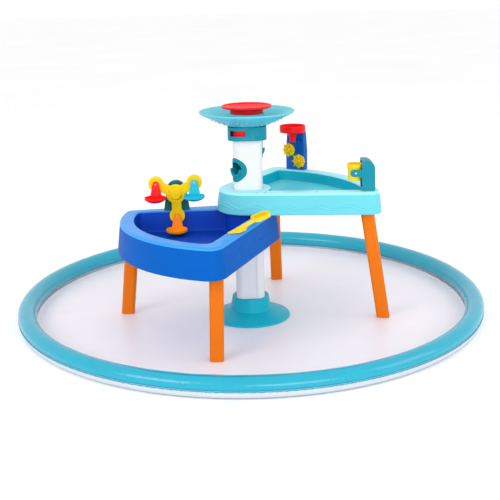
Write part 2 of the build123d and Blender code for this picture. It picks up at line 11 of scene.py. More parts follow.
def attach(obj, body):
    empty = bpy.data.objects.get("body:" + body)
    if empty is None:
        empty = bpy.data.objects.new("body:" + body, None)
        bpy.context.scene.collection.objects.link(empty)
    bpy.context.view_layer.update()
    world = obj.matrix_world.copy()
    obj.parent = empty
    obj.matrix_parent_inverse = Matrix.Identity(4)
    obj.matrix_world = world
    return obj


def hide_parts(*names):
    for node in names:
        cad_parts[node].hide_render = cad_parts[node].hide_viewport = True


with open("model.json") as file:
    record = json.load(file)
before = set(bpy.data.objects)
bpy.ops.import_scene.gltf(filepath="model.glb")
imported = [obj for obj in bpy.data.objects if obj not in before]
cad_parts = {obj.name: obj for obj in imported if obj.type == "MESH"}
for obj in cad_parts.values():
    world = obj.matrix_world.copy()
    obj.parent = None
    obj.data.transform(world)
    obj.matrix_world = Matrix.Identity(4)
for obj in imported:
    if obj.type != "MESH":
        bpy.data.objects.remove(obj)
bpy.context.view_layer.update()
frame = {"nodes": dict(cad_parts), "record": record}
NODES = frame["nodes"]
BODY_OF = {n: b for b, ns in frame["record"]["behaviour"]["bodies"].items() for n in ns}
SLOT_OF = {s["node"]: s["material_slot"] for s in frame["record"]["subparts"]} if "subparts" in frame["record"] else {}
MM = 0.001
CX, CY = 0.0, -0.112          # column axis
SC = bpy.context.scene


# ------------------------------------------------------------------ materials
def lin(r, g, b):
    def f(c):
        c = c / 255.0
        return c / 12.92 if c <= 0.04045 else ((c + 0.055) / 1.055) ** 2.4
    return (f(r), f(g), f(b))


def shade(c, k):
    return (min(c[0] * k, 1.0), min(c[1] * k, 1.0), min(c[2] * k, 1.0), 1.0)


class Mat:
    """Small helper that wires a Principled material."""

    def __init__(self, name):
        self.m = bpy.data.materials.new(name)
        self.m.use_nodes = True
        self.nt = self.m.node_tree
        self.b = self.nt.nodes["Principled BSDF"]
        self.tc = self.nt.nodes.new("ShaderNodeTexCoord")

    def node(self, kind, **props):
        n = self.nt.nodes.new(kind)
        for k, v in props.items():
            setattr(n, k, v)
        return n

    def link(self, a, b):
        self.nt.links.new(a, b)

    def noise(self, scale, detail=3.0, rough=0.55, stretch=None, distortion=0.0):
        n = self.node("ShaderNodeTexNoise")
        n.inputs["Scale"].default_value = scale
        n.inputs["Detail"].default_value = detail
        n.inputs["Roughness"].default_value = rough
        n.inputs["Distortion"].default_value = distortion
        if stretch:
            mp = self.node("ShaderNodeMapping")
            mp.inputs["Scale"].default_value = stretch
            self.link(self.tc.outputs["Object"], mp.inputs["Vector"])
            self.link(mp.outputs["Vector"], n.inputs["Vector"])
        else:
            self.link(self.tc.outputs["Object"], n.inputs["Vector"])
        return n.outputs["Fac"]

    def ramp(self, fac, stops):
        r = self.node("ShaderNodeValToRGB")
        els = r.color_ramp.elements
        while len(els) < len(stops):
            els.new(0.5)
        for e, (p, c) in zip(els, stops):
            e.position = p
            e.color = c
        self.link(fac, r.inputs["Fac"])
        return r.outputs["Color"]

    def range(self, fac, a, b, lo, hi):
        r = self.node("ShaderNodeMapRange")
        r.inputs["From Min"].default_value = a
        r.inputs["From Max"].default_value = b
        r.inputs["To Min"].default_value = lo
        r.inputs["To Max"].default_value = hi
        self.link(fac, r.inputs["Value"])
        return r.outputs["Result"]

    def mix(self, fac, a, b, mode="MIX"):
        x = self.node("ShaderNodeMix", data_type="RGBA", blend_type=mode)
        for sock, v in ((x.inputs[0], fac), (x.inputs[6], a), (x.inputs[7], b)):
            if isinstance(v, (int, float)):
                sock.default_value = v
            elif isinstance(v, tuple):
                sock.default_value = v
            else:
                self.link(v, sock)
        return x.outputs[2]

    def math(self, op, a, b=None):
        x = self.node("ShaderNodeMath", operation=op)
        for sock, v in ((x.inputs[0], a), (x.inputs[1], b)):
            if v is None:
                continue
            if isinstance(v, (int, float)):
                sock.default_value = v
            else:
                self.link(v, sock)
        return x.outputs[0]

    def bump(self, height, strength, distance, under=None):
        b = self.node("ShaderNodeBump")
        b.inputs["Strength"].default_value = strength
        b.inputs["Distance"].default_value = distance
        self.link(height, b.inputs["Height"])
        if under is not None:
            self.link(under, b.inputs["Normal"])
        return b.outputs["Normal"]


def moulded(name, rgb, rough=0.36, tint=0.05, orange_peel=0.10, grain=0.12, wear=0.35, coat=0.0, spec=0.5, sub=0.0):
    """Injection or blow moulded plastic: slow pigment variation, faint scuffs, orange peel, fine grain, paler worn edges."""
    k = Mat(name)
    c = lin(*rgb)
    flow = k.noise(4.5, 4.0, 0.5, distortion=0.6)
    base = k.ramp(flow, [(0.30, shade(c, 1.0 - tint)), (0.72, shade(c, 1.0 + tint))])
    point = k.node("ShaderNodeNewGeometry").outputs["Pointiness"]
    edge = k.range(point, 0.515, 0.58, 0.0, wear)
    speck = k.noise(120.0, 5.0, 0.65)
    edge = k.math("MULTIPLY", edge, k.range(speck, 0.35, 0.65, 0.35, 1.0))
    pale = (c[0] * 0.72 + 0.28, c[1] * 0.72 + 0.28, c[2] * 0.72 + 0.28, 1.0)
    k.link(k.mix(edge, base, pale), k.b.inputs["Base Color"])
    scuff = k.noise(26.0, 6.0, 0.62, stretch=(1.0, 1.0, 3.2))
    k.link(k.range(scuff, 0.25, 0.75, rough - 0.07, rough + 0.09), k.b.inputs["Roughness"])
    peel = k.noise(170.0, 2.0, 0.5)
    fine = k.noise(1500.0, 3.0, 0.6)
    n = k.bump(peel, orange_peel, 0.0010)
    n = k.bump(fine, grain, 0.00025, n)
    k.link(n, k.b.inputs["Normal"])
    k.b.inputs["Specular IOR Level"].default_value = spec
    k.b.inputs["IOR"].default_value = 1.5
    if coat:
        k.b.inputs["Coat Weight"].default_value = coat
        k.b.inputs["Coat Roughness"].default_value = 0.18
    if sub:
        k.b.inputs["Subsurface Weight"].default_value = sub
        k.b.inputs["Subsurface Radius"].default_value = (0.006, 0.006, 0.006)
        k.b.inputs["Subsurface Scale"].default_value = 0.5
    return k.m


def vinyl(name, rgb, rough=0.2, tint=0.04, pucker=0.25, coat=0.25, grain=0.06):
    """PVC film: soft puckers, faint grain, a glossy skin."""
    k = Mat(name)
    c = lin(*rgb)
    flow = k.noise(7.0, 4.0, 0.55, distortion=0.4)
    k.link(k.ramp(flow, [(0.28, shade(c, 1.0 - tint)), (0.74, shade(c, 1.0 + tint))]), k.b.inputs["Base Color"])
    wipe = k.noise(18.0, 5.0, 0.6, stretch=(1.0, 1.0, 2.0))
    k.link(k.range(wipe, 0.25, 0.75, rough - 0.05, rough + 0.08), k.b.inputs["Roughness"])
    slow = k.noise(34.0, 2.0, 0.45)
    mid = k.noise(110.0, 3.0, 0.5)
    fine = k.noise(1300.0, 2.0, 0.5)
    n = k.bump(slow, pucker, 0.004)
    n = k.bump(mid, pucker * 0.5, 0.001, n)
    n = k.bump(fine, grain, 0.0002, n)
    k.link(n, k.b.inputs["Normal"])
    k.b.inputs["Coat Weight"].default_value = coat
    k.b.inputs["Coat Roughness"].default_value = 0.10
    k.b.inputs["Specular IOR Level"].default_value = 0.5
    return k.m


def brushed(name, rgb):
    k = Mat(name)
    c = lin(*rgb)
    flow = k.noise(60.0, 4.0, 0.5, stretch=(1.0, 6.0, 6.0))
    k.link(k.ramp(flow, [(0.3, shade(c, 0.82)), (0.7, shade(c, 1.08))]), k.b.inputs["Base Color"])
    k.link(k.range(k.noise(400.0, 3.0, 0.6), 0.3, 0.7, 0.22, 0.42), k.b.inputs["Roughness"])
    k.link(k.bump(k.noise(900.0, 2.0, 0.5, stretch=(1.0, 4.0, 4.0)), 0.2, 0.0002), k.b.inputs["Normal"])
    k.b.inputs["Metallic"].default_value = 1.0
    return k.m


SPEC = 0.2
M = {
    "teal_light": moulded("plastic_teal_light", (102, 200, 212), rough=0.40, tint=0.03, spec=SPEC, wear=0.15),
    # the tray plastic lightened: a painted sheen on the rim, shoulder and column hole
    "teal_rim": moulded("plastic_teal_rim", (156, 232, 240), rough=0.34, tint=0.03, spec=0.3, wear=0.2),
    # the tray plastic darkened: painted shade on the basin walls
    "teal_inside": moulded("plastic_teal_inside", (0, 168, 190), rough=0.42, tint=0.04, spec=SPEC, wear=0.1),
    "teal_dish": moulded("plastic_teal_dish", (92, 196, 212), rough=0.36, tint=0.03, spec=0.25, wear=0.2),
    "teal": moulded("plastic_teal", (0, 134, 154), rough=0.36, tint=0.05, spec=0.1, wear=0.15),
    # the tray plastic lightened: painted light on the up-facing basin floor
    "teal_floor": moulded("plastic_teal_floor", (92, 206, 222), rough=0.42, tint=0.04, spec=SPEC, wear=0.1),
    "teal_bright": moulded("plastic_teal_bright", (24, 186, 212), rough=0.32, tint=0.04, spec=0.2, wear=0.15),
    "orange_bright": moulded("plastic_orange_bright", (250, 146, 8), rough=0.34, tint=0.04, spec=0.15, wear=0.12),
    "teal_base": moulded("plastic_teal_base", (14, 170, 192), rough=0.34, tint=0.04, spec=SPEC, wear=0.15),
    "teal_dark": moulded("plastic_teal_dark", (0, 104, 110), rough=0.36, tint=0.06, spec=SPEC, wear=0.15),
    "blue": moulded("plastic_blue", (0, 88, 176), rough=0.48, tint=0.04, spec=0.06, wear=0.1),
    # the blue plastic lightened: a painted sheen on the rim, shoulder and column hole
    "blue_rim": moulded("plastic_blue_rim", (44, 146, 230), rough=0.34, tint=0.04, spec=0.3, wear=0.2),
    # the blue plastic darkened: painted shade on the basin walls and floor
    "blue_inside": moulded("plastic_blue_inside", (0, 66, 182), rough=0.40, tint=0.04, spec=SPEC, wear=0.1),
    "white": moulded("plastic_white", (222, 224, 228), rough=0.34, tint=0.015, wear=0.1, spec=0.3),
    "orange": moulded("plastic_orange", (226, 112, 0), rough=0.45, tint=0.04, spec=0.08, wear=0.12),
    "red": moulded("plastic_red", (240, 18, 26), rough=0.34, tint=0.05, spec=0.15, wear=0.15),
    "yellow": moulded("plastic_yellow", (242, 206, 6), rough=0.36, tint=0.04, spec=0.15, wear=0.12),
    "vinyl_teal": vinyl("vinyl_teal", (0, 158, 184), coat=0.14),
    "vinyl_white": vinyl("vinyl_white", (237, 231, 238), rough=0.40, tint=0.015, pucker=0.12, coat=0.05),
    # the white underside film, greyed and blued as painted shade
    "vinyl_under": vinyl("vinyl_under", (196, 206, 216), rough=0.34, tint=0.02, pucker=0.2, coat=0.1),
    "steel": brushed("pin_steel", (190, 192, 196)),
}


# ------------------------------------------------------------------ mesh helpers
def new_object(name, verts, faces, mats, body="table", replaces=(), smooth=34.0, face_mats=None, merge=1e-6, fix=True):
    me = bpy.data.meshes.new(name)
    bm = bmesh.new()
    vs = [bm.verts.new(v) for v in verts]
    for i, f in enumerate(faces):
        idx = []
        for j in f:
            if not idx or idx[-1] != j:
                idx.append(j)
        if len(idx) > 1 and idx[0] == idx[-1]:
            idx.pop()
        if len(set(idx)) < 3:
            continue
        try:
            bf = bm.faces.new([vs[j] for j in idx])
        except ValueError:
            continue
        bf.smooth = True
        if face_mats is not None:
            bf.material_index = int(face_mats[i])
    if merge:
        bmesh.ops.remove_doubles(bm, verts=bm.verts, dist=merge)
    loose = [v for v in bm.verts if not v.link_faces]
    bmesh.ops.delete(bm, geom=loose, context="VERTS")
    if fix:
        bmesh.ops.recalc_face_normals(bm, faces=bm.faces)
    bm.to_mesh(me)
    bm.free()
    me.set_sharp_from_angle(angle=math.radians(smooth))
    o = bpy.data.objects.new(name, me)
    SC.collection.objects.link(o)
    for m in (mats if isinstance(mats, (list, tuple)) else [mats]):
        me.materials.append(m)
    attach(o, body)
    if replaces:
        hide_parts(*replaces)
    return o


def bevel(o, width, segs=3, angle=34.0):
    b = o.modifiers.new("edge", "BEVEL")
    b.width = width
    b.segments = segs
    b.limit_method = "ANGLE"
    b.angle_limit = math.radians(angle)
    b.use_clamp_overlap = True
    b.miter_outer = "MITER_ARC"
    b.harden_normals = False
    w = o.modifiers.new("normals", "WEIGHTED_NORMAL")
    w.keep_sharp = False
    return o


def cad_copy(node, mat, width=0.0012, segs=3, angle=34.0, dissolve=True, tag="_look"):
    src = NODES[node].data
    bm = bmesh.new()
    vs = [bm.verts.new(v.co) for v in src.vertices]
    for p in src.polygons:
        try:
            bm.faces.new([vs[i] for i in p.vertices])
        except ValueError:
            pass
    bmesh.ops.remove_doubles(bm, verts=bm.verts, dist=2e-5)
    if dissolve:
        bmesh.ops.dissolve_limit(bm, angle_limit=math.radians(0.5), use_dissolve_boundaries=False, verts=bm.verts, edges=bm.edges)
    bmesh.ops.recalc_face_normals(bm, faces=bm.faces)
    me = bpy.data.meshes.new(node + tag)
    for f in bm.faces:
        f.smooth = True
    bm.to_mesh(me)
    bm.free()
    me.set_sharp_from_angle(angle=math.radians(angle))
    me.materials.append(mat)
    o = bpy.data.objects.new(node + tag, me)
    SC.collection.objects.link(o)
    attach(o, BODY_OF[node])
    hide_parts(node)
    if width:
        bevel(o, width, segs, angle)
    return o


SLOTS = {}
for slot, nodes in {
    "vinyl_teal": ["pad_ring", "valve_base", "valve_cap"], "vinyl_white": ["pad_floor"],
    "teal": ["base_foot", "window_frame_lower", "window_frame_upper", "spout_lower", "spout_upper", "dish_collar", "cup_teal", "tower_bracket", "bucket_post"],
    "white": ["column_lower_left", "column_lower_right", "column_coupler", "column_upper"],
    "teal_light": ["rain_dish", "tray_upper"], "red": ["top_bowl", "bowl_neck", "diverter_drum", "cup_red", "funnel"],
    "blue": ["tray_lower", "tower"], "orange": ["leg_front", "leg_left", "leg_right", "leg_back", "cup_orange"],
    "teal_dark": ["spinner_post"], "steel": ["spinner_axle"],
    "yellow": ["spinner_wheel", "spinner_cap", "paddle_upper", "paddle_lower", "tipping_bucket", "toy_scoop"],
}.items():
    for n in nodes:
        SLOTS[n] = slot

DONE = set()


# ------------------------------------------------------------------ splash pad
RM = 0.792
RING_N = 1700
rng = np.random.default_rng(11)


def periodic_noise(n, scale, seed, octaves=3):
    """Smooth periodic noise round the ring, about scale bumps in all."""
    r = np.random.default_rng(seed)
    out = np.zeros(n)
    a = np.linspace(0, 2 * math.pi, n, endpoint=False)
    amp = 1.0
    for o in range(octaves):
        base = scale * (1.7 ** o)
        for _ in range(7):
            f = int(round(base * r.uniform(0.72, 1.3)))
            out += amp * np.sin(f * a + r.uniform(0, 2 * math.pi)) / 3.0
        amp *= 0.55
    return out / max(np.abs(out).max(), 1e-9)


def build_ring():
    # cross-section, from the inner weld over the top to the outer seam, then under to the inner weld
    top = []
    n_top = 34
    A, B = (-29.0, 8.5), (26.0, 26.0)
    a0 = math.degrees(math.atan2(A[1] - 31.5, A[0]))          # on the tube circle
    a0 = 180 + 44.0
    a1 = -9.0
    for i in range(n_top + 1):
        t = i / n_top
        a = math.radians(a0 + (a1 - a0) * t)
        r = 33.0
        pinch_in = 5.0 * math.exp(-((t) / 0.075) ** 1.3)
        pinch_out = 6.5 * math.exp(-((1 - t) / 0.085) ** 1.3)
        rr = r - pinch_in - pinch_out
        top.append((rr * math.cos(a), 31.5 + rr * math.sin(a), t, 0))
    under = []
    pts = [(29.2, 20.0), (27.6, 14.5), (24.4, 9.0), (20.0, 4.6), (14.0, 1.6), (7.0, 0.5), (0.0, 0.3), (-8.0, 0.5), (-15.0, 1.6), (-20.5, 4.4)]
    for i, p in enumerate(pts):
        under.append((p[0], p[1], (i + 1) / (len(pts) + 1), 1))
    prof = top + under
    m = len(prof)
    th = np.linspace(0, 2 * math.pi, RING_N, endpoint=False)
    pin_in = periodic_noise(RING_N, 190, 3)
    pin_in2 = periodic_noise(RING_N, 330, 9)
    pin_out = periodic_noise(RING_N, 210, 5)
    pin_out2 = periodic_noise(RING_N, 420, 8)
    slow = periodic_noise(RING_N, 6, 21, 2)
    slow2 = periodic_noise(RING_N, 40, 22, 2)
    verts = np.zeros((m, RING_N, 3))
    for j, (px, pz, t, part) in enumerate(prof):
        cx_, cz_ = 0.0, 31.5
        dx, dz = px - cx_, pz - cz_
        rr = math.hypot(dx, dz)
        ux, uz = dx / rr, dz / rr
        d = np.zeros(RING_N)
        if part == 0:
            wi = math.exp(-t / 0.10)
            wo = math.exp(-(1 - t) / 0.11)
            d += wi * (1.5 * pin_in + 0.6 * pin_in2) * (0.25 + 0.75 * min(1, t / 0.04))
            d += wo * (1.5 * pin_out + 0.7 * pin_out2) * (0.25 + 0.75 * min(1, (1 - t) / 0.04))
            d += 0.35 * slow2 * math.sin(math.pi * t) + 0.5 * slow * math.sin(math.pi * t)
        else:
            wo = math.exp(-t / 0.16)
            d += wo * (0.9 * pin_out + 0.5 * pin_out2) * min(1, t / 0.1)
        seam_lift = 0.0
        if (part == 0 and t > 0.93) or (part == 1 and t < 0.15):
            w = 1.0 - min(abs(1 - t) if part == 0 else t, 0.15) / 0.15
            seam_lift = w * (0.7 * pin_out2 + 0.5 * pin_out)
        x = (RM * 1000 + px + ux * d)
        z = np.maximum(pz + uz * d + seam_lift, 0.25)
        verts[j, :, 0] = x * np.cos(th)
        verts[j, :, 1] = x * np.sin(th)
        verts[j, :, 2] = z
    V = (verts * MM).reshape(-1, 3)
    F, FM = [], []
    for j in range(m):
        k = (j + 1) % m
        for i in range(RING_N):
            i2 = (i + 1) % RING_N
            F.append((j * RING_N + i, j * RING_N + i2, k * RING_N + i2, k * RING_N + i))
            # material 1, the underside, is the white film greyed as painted shade
            FM.append(0 if j < n_top else 1)
    o = new_object("splash_ring", V.tolist(), F, [M["vinyl_teal"], M["vinyl_under"]], "table", ["pad_ring"], smooth=60, face_mats=FM, merge=0)
    # welded flange: a thin puckered lip where the two films meet
    W = []
    rad = RM * 1000 + 25.4
    prof2 = [(0.0, 0.75), (3.4, 0.55), (5.2, 0.0), (3.4, -0.55), (0.0, -0.75)]
    vv = np.zeros((5, RING_N, 3))
    z0 = 25.6 + 0.7 * pin_out2 + 0.5 * pin_out
    for j, (dx, dz) in enumerate(prof2):
        flut = (dx / 5.2) * (0.9 * pin_out2 + 0.8 * pin_out)
        rr = rad + dx + (0.6 * pin_out2) * (dx / 5.2)
        vv[j, :, 0] = rr * np.cos(th)
        vv[j, :, 1] = rr * np.sin(th)
        vv[j, :, 2] = z0 + dz + flut
    F = []
    for j in range(5):
        k2 = (j + 1) % 5
        for i in range(RING_N):
            i2 = (i + 1) % RING_N
            F.append((j * RING_N + i, j * RING_N + i2, k2 * RING_N + i2, k2 * RING_N + i))
    new_object("splash_ring_seam", (vv * MM).reshape(-1, 3).tolist(), F, M["vinyl_teal"], "table", (), smooth=60, merge=0)
    DONE.add("pad_ring")


def build_floor_sheet():
    """The thin floor film: flat under the feet, puckered radially towards the inner weld."""
    n = 1200
    radii = [0.0]
    r = 0.0
    while r < 0.640:
        r += 0.016
        radii.append(r)
    while r < 0.762:
        r += 0.0042
        radii.append(min(r, 0.7625))
    radii = np.array(radii)
    th = np.linspace(0, 2 * math.pi, n, endpoint=False)
    p1 = periodic_noise(n, 130, 31)
    p2 = periodic_noise(n, 60, 32)
    p3 = periodic_noise(n, 230, 33)
    p4 = periodic_noise(n, 22, 34)
    feet = [(-0.109, -0.523), (-0.438, -0.061), (0.458, -0.160), (0.104, 0.302)]
    verts = [(0.0, 0.0, 0.002)]
    for r in radii[1:]:
        w1 = math.exp(-(0.7625 - r) / 0.016)
        w2 = math.exp(-(0.7625 - r) / 0.040)
        w3 = math.exp(-(0.7625 - r) / 0.13)
        z = w1 * (1.3 * p1 + 0.9 * p3) + w2 * (1.2 * p2) + w3 * 0.9 * p4
        rise = 5.0 * math.exp(-(0.7625 - r) / 0.007)
        x, y = r * np.cos(th), r * np.sin(th)
        # long shallow undulations, none near anything that stands on the film
        u = np.array([noise.noise(Vector((a * 3.4, b * 3.4, 0.3))) for a, b in zip(x, y)])
        clear = np.ones(n)
        for fx, fy in feet:
            clear *= np.clip((np.hypot(x - fx, y - fy) - 0.05) / 0.10, 0, 1)
        clear *= np.clip((np.hypot(x, y + 0.112) - 0.15) / 0.12, 0, 1)
        zz = 2.0 + rise + np.maximum(z, -1.1) + 1.1 * np.maximum(u, -0.3) * clear
        for a, b, c in zip(x, y, zz):
            verts.append((a, b, max(c, 0.9) * MM))
    F = []
    for i in range(n):
        F.append((0, 1 + i, 1 + (i + 1) % n))
    rows = len(radii) - 1
    for j in range(rows - 1):
        for i in range(n):
            i2 = (i + 1) % n
            F.append((1 + j * n + i, 1 + (j + 1) * n + i, 1 + (j + 1) * n + i2, 1 + j * n + i2))
    base = len(verts)
    last = 1 + (rows - 1) * n
    for i in range(n):                       # turned-down rim and a flat back
        x, y, z = verts[last + i]
        verts.append((x, y, 0.0004))
    verts.append((0.0, 0.0, 0.0004))
    for i in range(n):
        i2 = (i + 1) % n
        F.append((last + i, base + i, base + i2, last + i2))
        F.append((base + n, base + i2, base + i))
    o = new_object("splash_floor", verts, F, M["vinyl_white"], "table", ["pad_floor"], smooth=50, merge=0)
    DONE.add("pad_floor")


build_ring()
build_floor_sheet()

# ------------------------------------------------------------------ trays
def welded(node):
    src = NODES[node].data
    co = np.array([v.co for v in src.vertices])
    key = {}
    idx = []
    pts = []
    for c in co:
        k = tuple(np.round(c * 1e5).astype(int))
        if k not in key:
            key[k] = len(pts)
            pts.append(c)
        idx.append(key[k])
    tris = [[idx[i] for i in p.vertices] for p in src.polygons]
    tris = [t for t in tris if len(set(t)) == len(t)]
    return np.array(pts), tris


def loops_at(node, z, up=True, tol=2e-4):
    """Closed boundary loops of the node's flat faces at height z, largest first, as (n, 2) arrays going counter-clockwise."""
    P, T = welded(node)
    edges = {}
    for t in T:
        q = P[t]
        if np.abs(q[:, 2] - z).max() > tol:
            continue
        n = np.cross(q[1] - q[0], q[2] - q[0])
        if (n[2] > 0) != up:
            continue
        m = len(t)
        for a in range(m):
            e = (t[a], t[(a + 1) % m])
            edges[e] = edges.get(e, 0) + 1
    nxt = {}
    for a, b in edges:
        if (b, a) not in edges:
            nxt.setdefault(a, []).append(b)
    loops = []
    while nxt:
        start = next(iter(nxt))
        loop = [start]
        cur = nxt[start].pop()
        if not nxt[start]:
            del nxt[start]
        while cur != start and cur in nxt:
            loop.append(cur)
            n2 = nxt[cur].pop()
            if not nxt[cur]:
                del nxt[cur]
            cur = n2
        loops.append(P[loop][:, :2])
    loops = [l for l in loops if len(l) > 3]

    def area2(l):
        x, y = l[:, 0], l[:, 1]
        return float((x * np.roll(y, -1) - y * np.roll(x, -1)).sum() / 2)
    out = []
    for l in loops:
        a = area2(l)
        out.append((abs(a), l if a > 0 else l[::-1]))
    out.sort(key=lambda t: -t[0])
    return [l for _, l in out]


def resample(loop, n):
    d = np.hypot(*(np.roll(loop, -1, 0) - loop).T)
    s = np.concatenate([[0], np.cumsum(d)])
    L = s[-1]
    c = np.vstack([loop, loop[:1]])
    t = np.linspace(0, L, n, endpoint=False)
    return np.stack([np.interp(t, s, c[:, 0]), np.interp(t, s, c[:, 1])], 1), L


def soften(loop, step, sigma):
    """Rounds a closed outline by a Gaussian of sigma metres, points step metres apart."""
    _, L = resample(loop, 16)
    n = int(round(L / step))
    p, L = resample(loop, n)
    if sigma <= 0:
        return p
    k = np.fft.fftfreq(n, d=L / n)
    g = np.exp(-2 * (math.pi * k * sigma) ** 2)
    q = np.stack([np.fft.ifft(np.fft.fft(p[:, i]) * g).real for i in (0, 1)], 1)
    return resample(q, n)[0]


def outward(p):
    t = np.roll(p, -1, 0) - np.roll(p, 1, 0)
    t /= np.hypot(t[:, 0], t[:, 1])[:, None]
    return np.stack([t[:, 1], -t[:, 0]], 1)


def inside(poly, pts):
    """Even-odd test of many points against one closed polygon."""
    x, y = pts[:, 0], pts[:, 1]
    c = np.zeros(len(pts), bool)
    a, b = poly, np.roll(poly, -1, 0)
    for (x1, y1), (x2, y2) in zip(a, b):
        if y1 == y2:
            continue
        hit = ((y1 > y) != (y2 > y)) & (x < (x2 - x1) * (y - y1) / (y2 - y1) + x1)
        c ^= hit
    return c


def dist_to(poly, pts, closed=True):
    """Distance of points to a polyline."""
    a = poly
    b = np.roll(poly, -1, 0) if closed else poly[1:]
    if not closed:
        a = poly[:-1]
    best = np.full(len(pts), 1e9)
    for p, q in zip(a, b):
        d = q - p
        l2 = max(float(d @ d), 1e-18)
        t = np.clip(((pts - p) @ d) / l2, 0, 1)
        best = np.minimum(best, np.hypot(*(pts - (p + t[:, None] * d)).T))
    return best


class Build:
    """Collects points and faces of one piece."""

    def __init__(self):
        self.v = []
        self.f = []
        self.m = []
        self.cur = 0

    def ring(self, p2, z):
        base = len(self.v)
        z = np.broadcast_to(z, (len(p2),))
        self.v.extend([(float(a), float(b), float(c)) for (a, b), c in zip(p2, z)])
        return base, len(p2)

    def skin(self, r1, r2, flip=False):
        b1, n = r1
        b2, _ = r2
        for i in range(n):
            j = (i + 1) % n
            q = (b1 + i, b1 + j, b2 + j, b2 + i)
            self.f.append(q[::-1] if flip else q)
            self.m.append(self.cur)

    def fill(self, outer, holes, zf, extra=None, up=True):
        """Flat or gently shaped cap between closed loops."""
        pts = []
        edges = []
        for l in [outer] + list(holes):
            b = len(pts)
            pts.extend([tuple(map(float, p)) for p in l])
            edges.extend([(b + i, b + (i + 1) % len(l)) for i in range(len(l))])
        if extra is not None and len(extra):
            pts.extend([tuple(map(float, p)) for p in extra])
        co, _, fs, *_ = delaunay_2d_cdt([Vector(p) for p in pts], edges, [], 0, 1e-7)
        co = np.array([(c.x, c.y) for c in co])
        fs = np.array([list(f) for f in fs if len(f) == 3])
        mid = co[fs].mean(1)
        ok = inside(np.asarray(outer), mid)
        for h in holes:
            ok &= ~inside(np.asarray(h), mid)
        z = zf(co) if callable(zf) else np.full(len(co), zf)
        base = len(self.v)
        self.v.extend([(float(a), float(b), float(c)) for (a, b), c in zip(co, z)])
        for f in fs[ok]:
            t = [base + int(i) for i in f]
            q = co[f]
            if ((q[1] - q[0])[0] * (q[2] - q[0])[1] - (q[1] - q[0])[1] * (q[2] - q[0])[0] > 0) != up:
                t = t[::-1]
            self.f.append(tuple(t))
            self.m.append(self.cur)


def wave_lines(s, z, period, z0, phase, width=1.5, gap=5.0, amp=4.6):
    """Two thin raised wave lines with curling crests, as on moulded sides. All in millimetres."""
    h = np.zeros_like(s)
    for k, (dz, dph, a) in enumerate(((0.0, 0.0, 1.0), (-gap, 9.0, 0.8))):
        u = (s + phase + dph) / period
        u = u - np.floor(u)
        # an asymmetric swell: slow rise, quick fall at the crest
        swell = np.where(u < 0.62, 0.5 - 0.5 * np.cos(math.pi * u / 0.62), 0.5 + 0.5 * np.cos(math.pi * (u - 0.62) / 0.38))
        line = z0 + dz + amp * a * (2 * swell - 1)
        slope = np.where(u < 0.62, 1.0, 1.35)
        d = np.abs(z - line) / slope
        fade = np.clip((0.96 - np.abs(u - 0.5) * 2) / 0.16, 0.0, 1.0) if k else 1.0
        h = np.maximum(h, np.exp(-(d / width) ** 2) * fade)
    return h


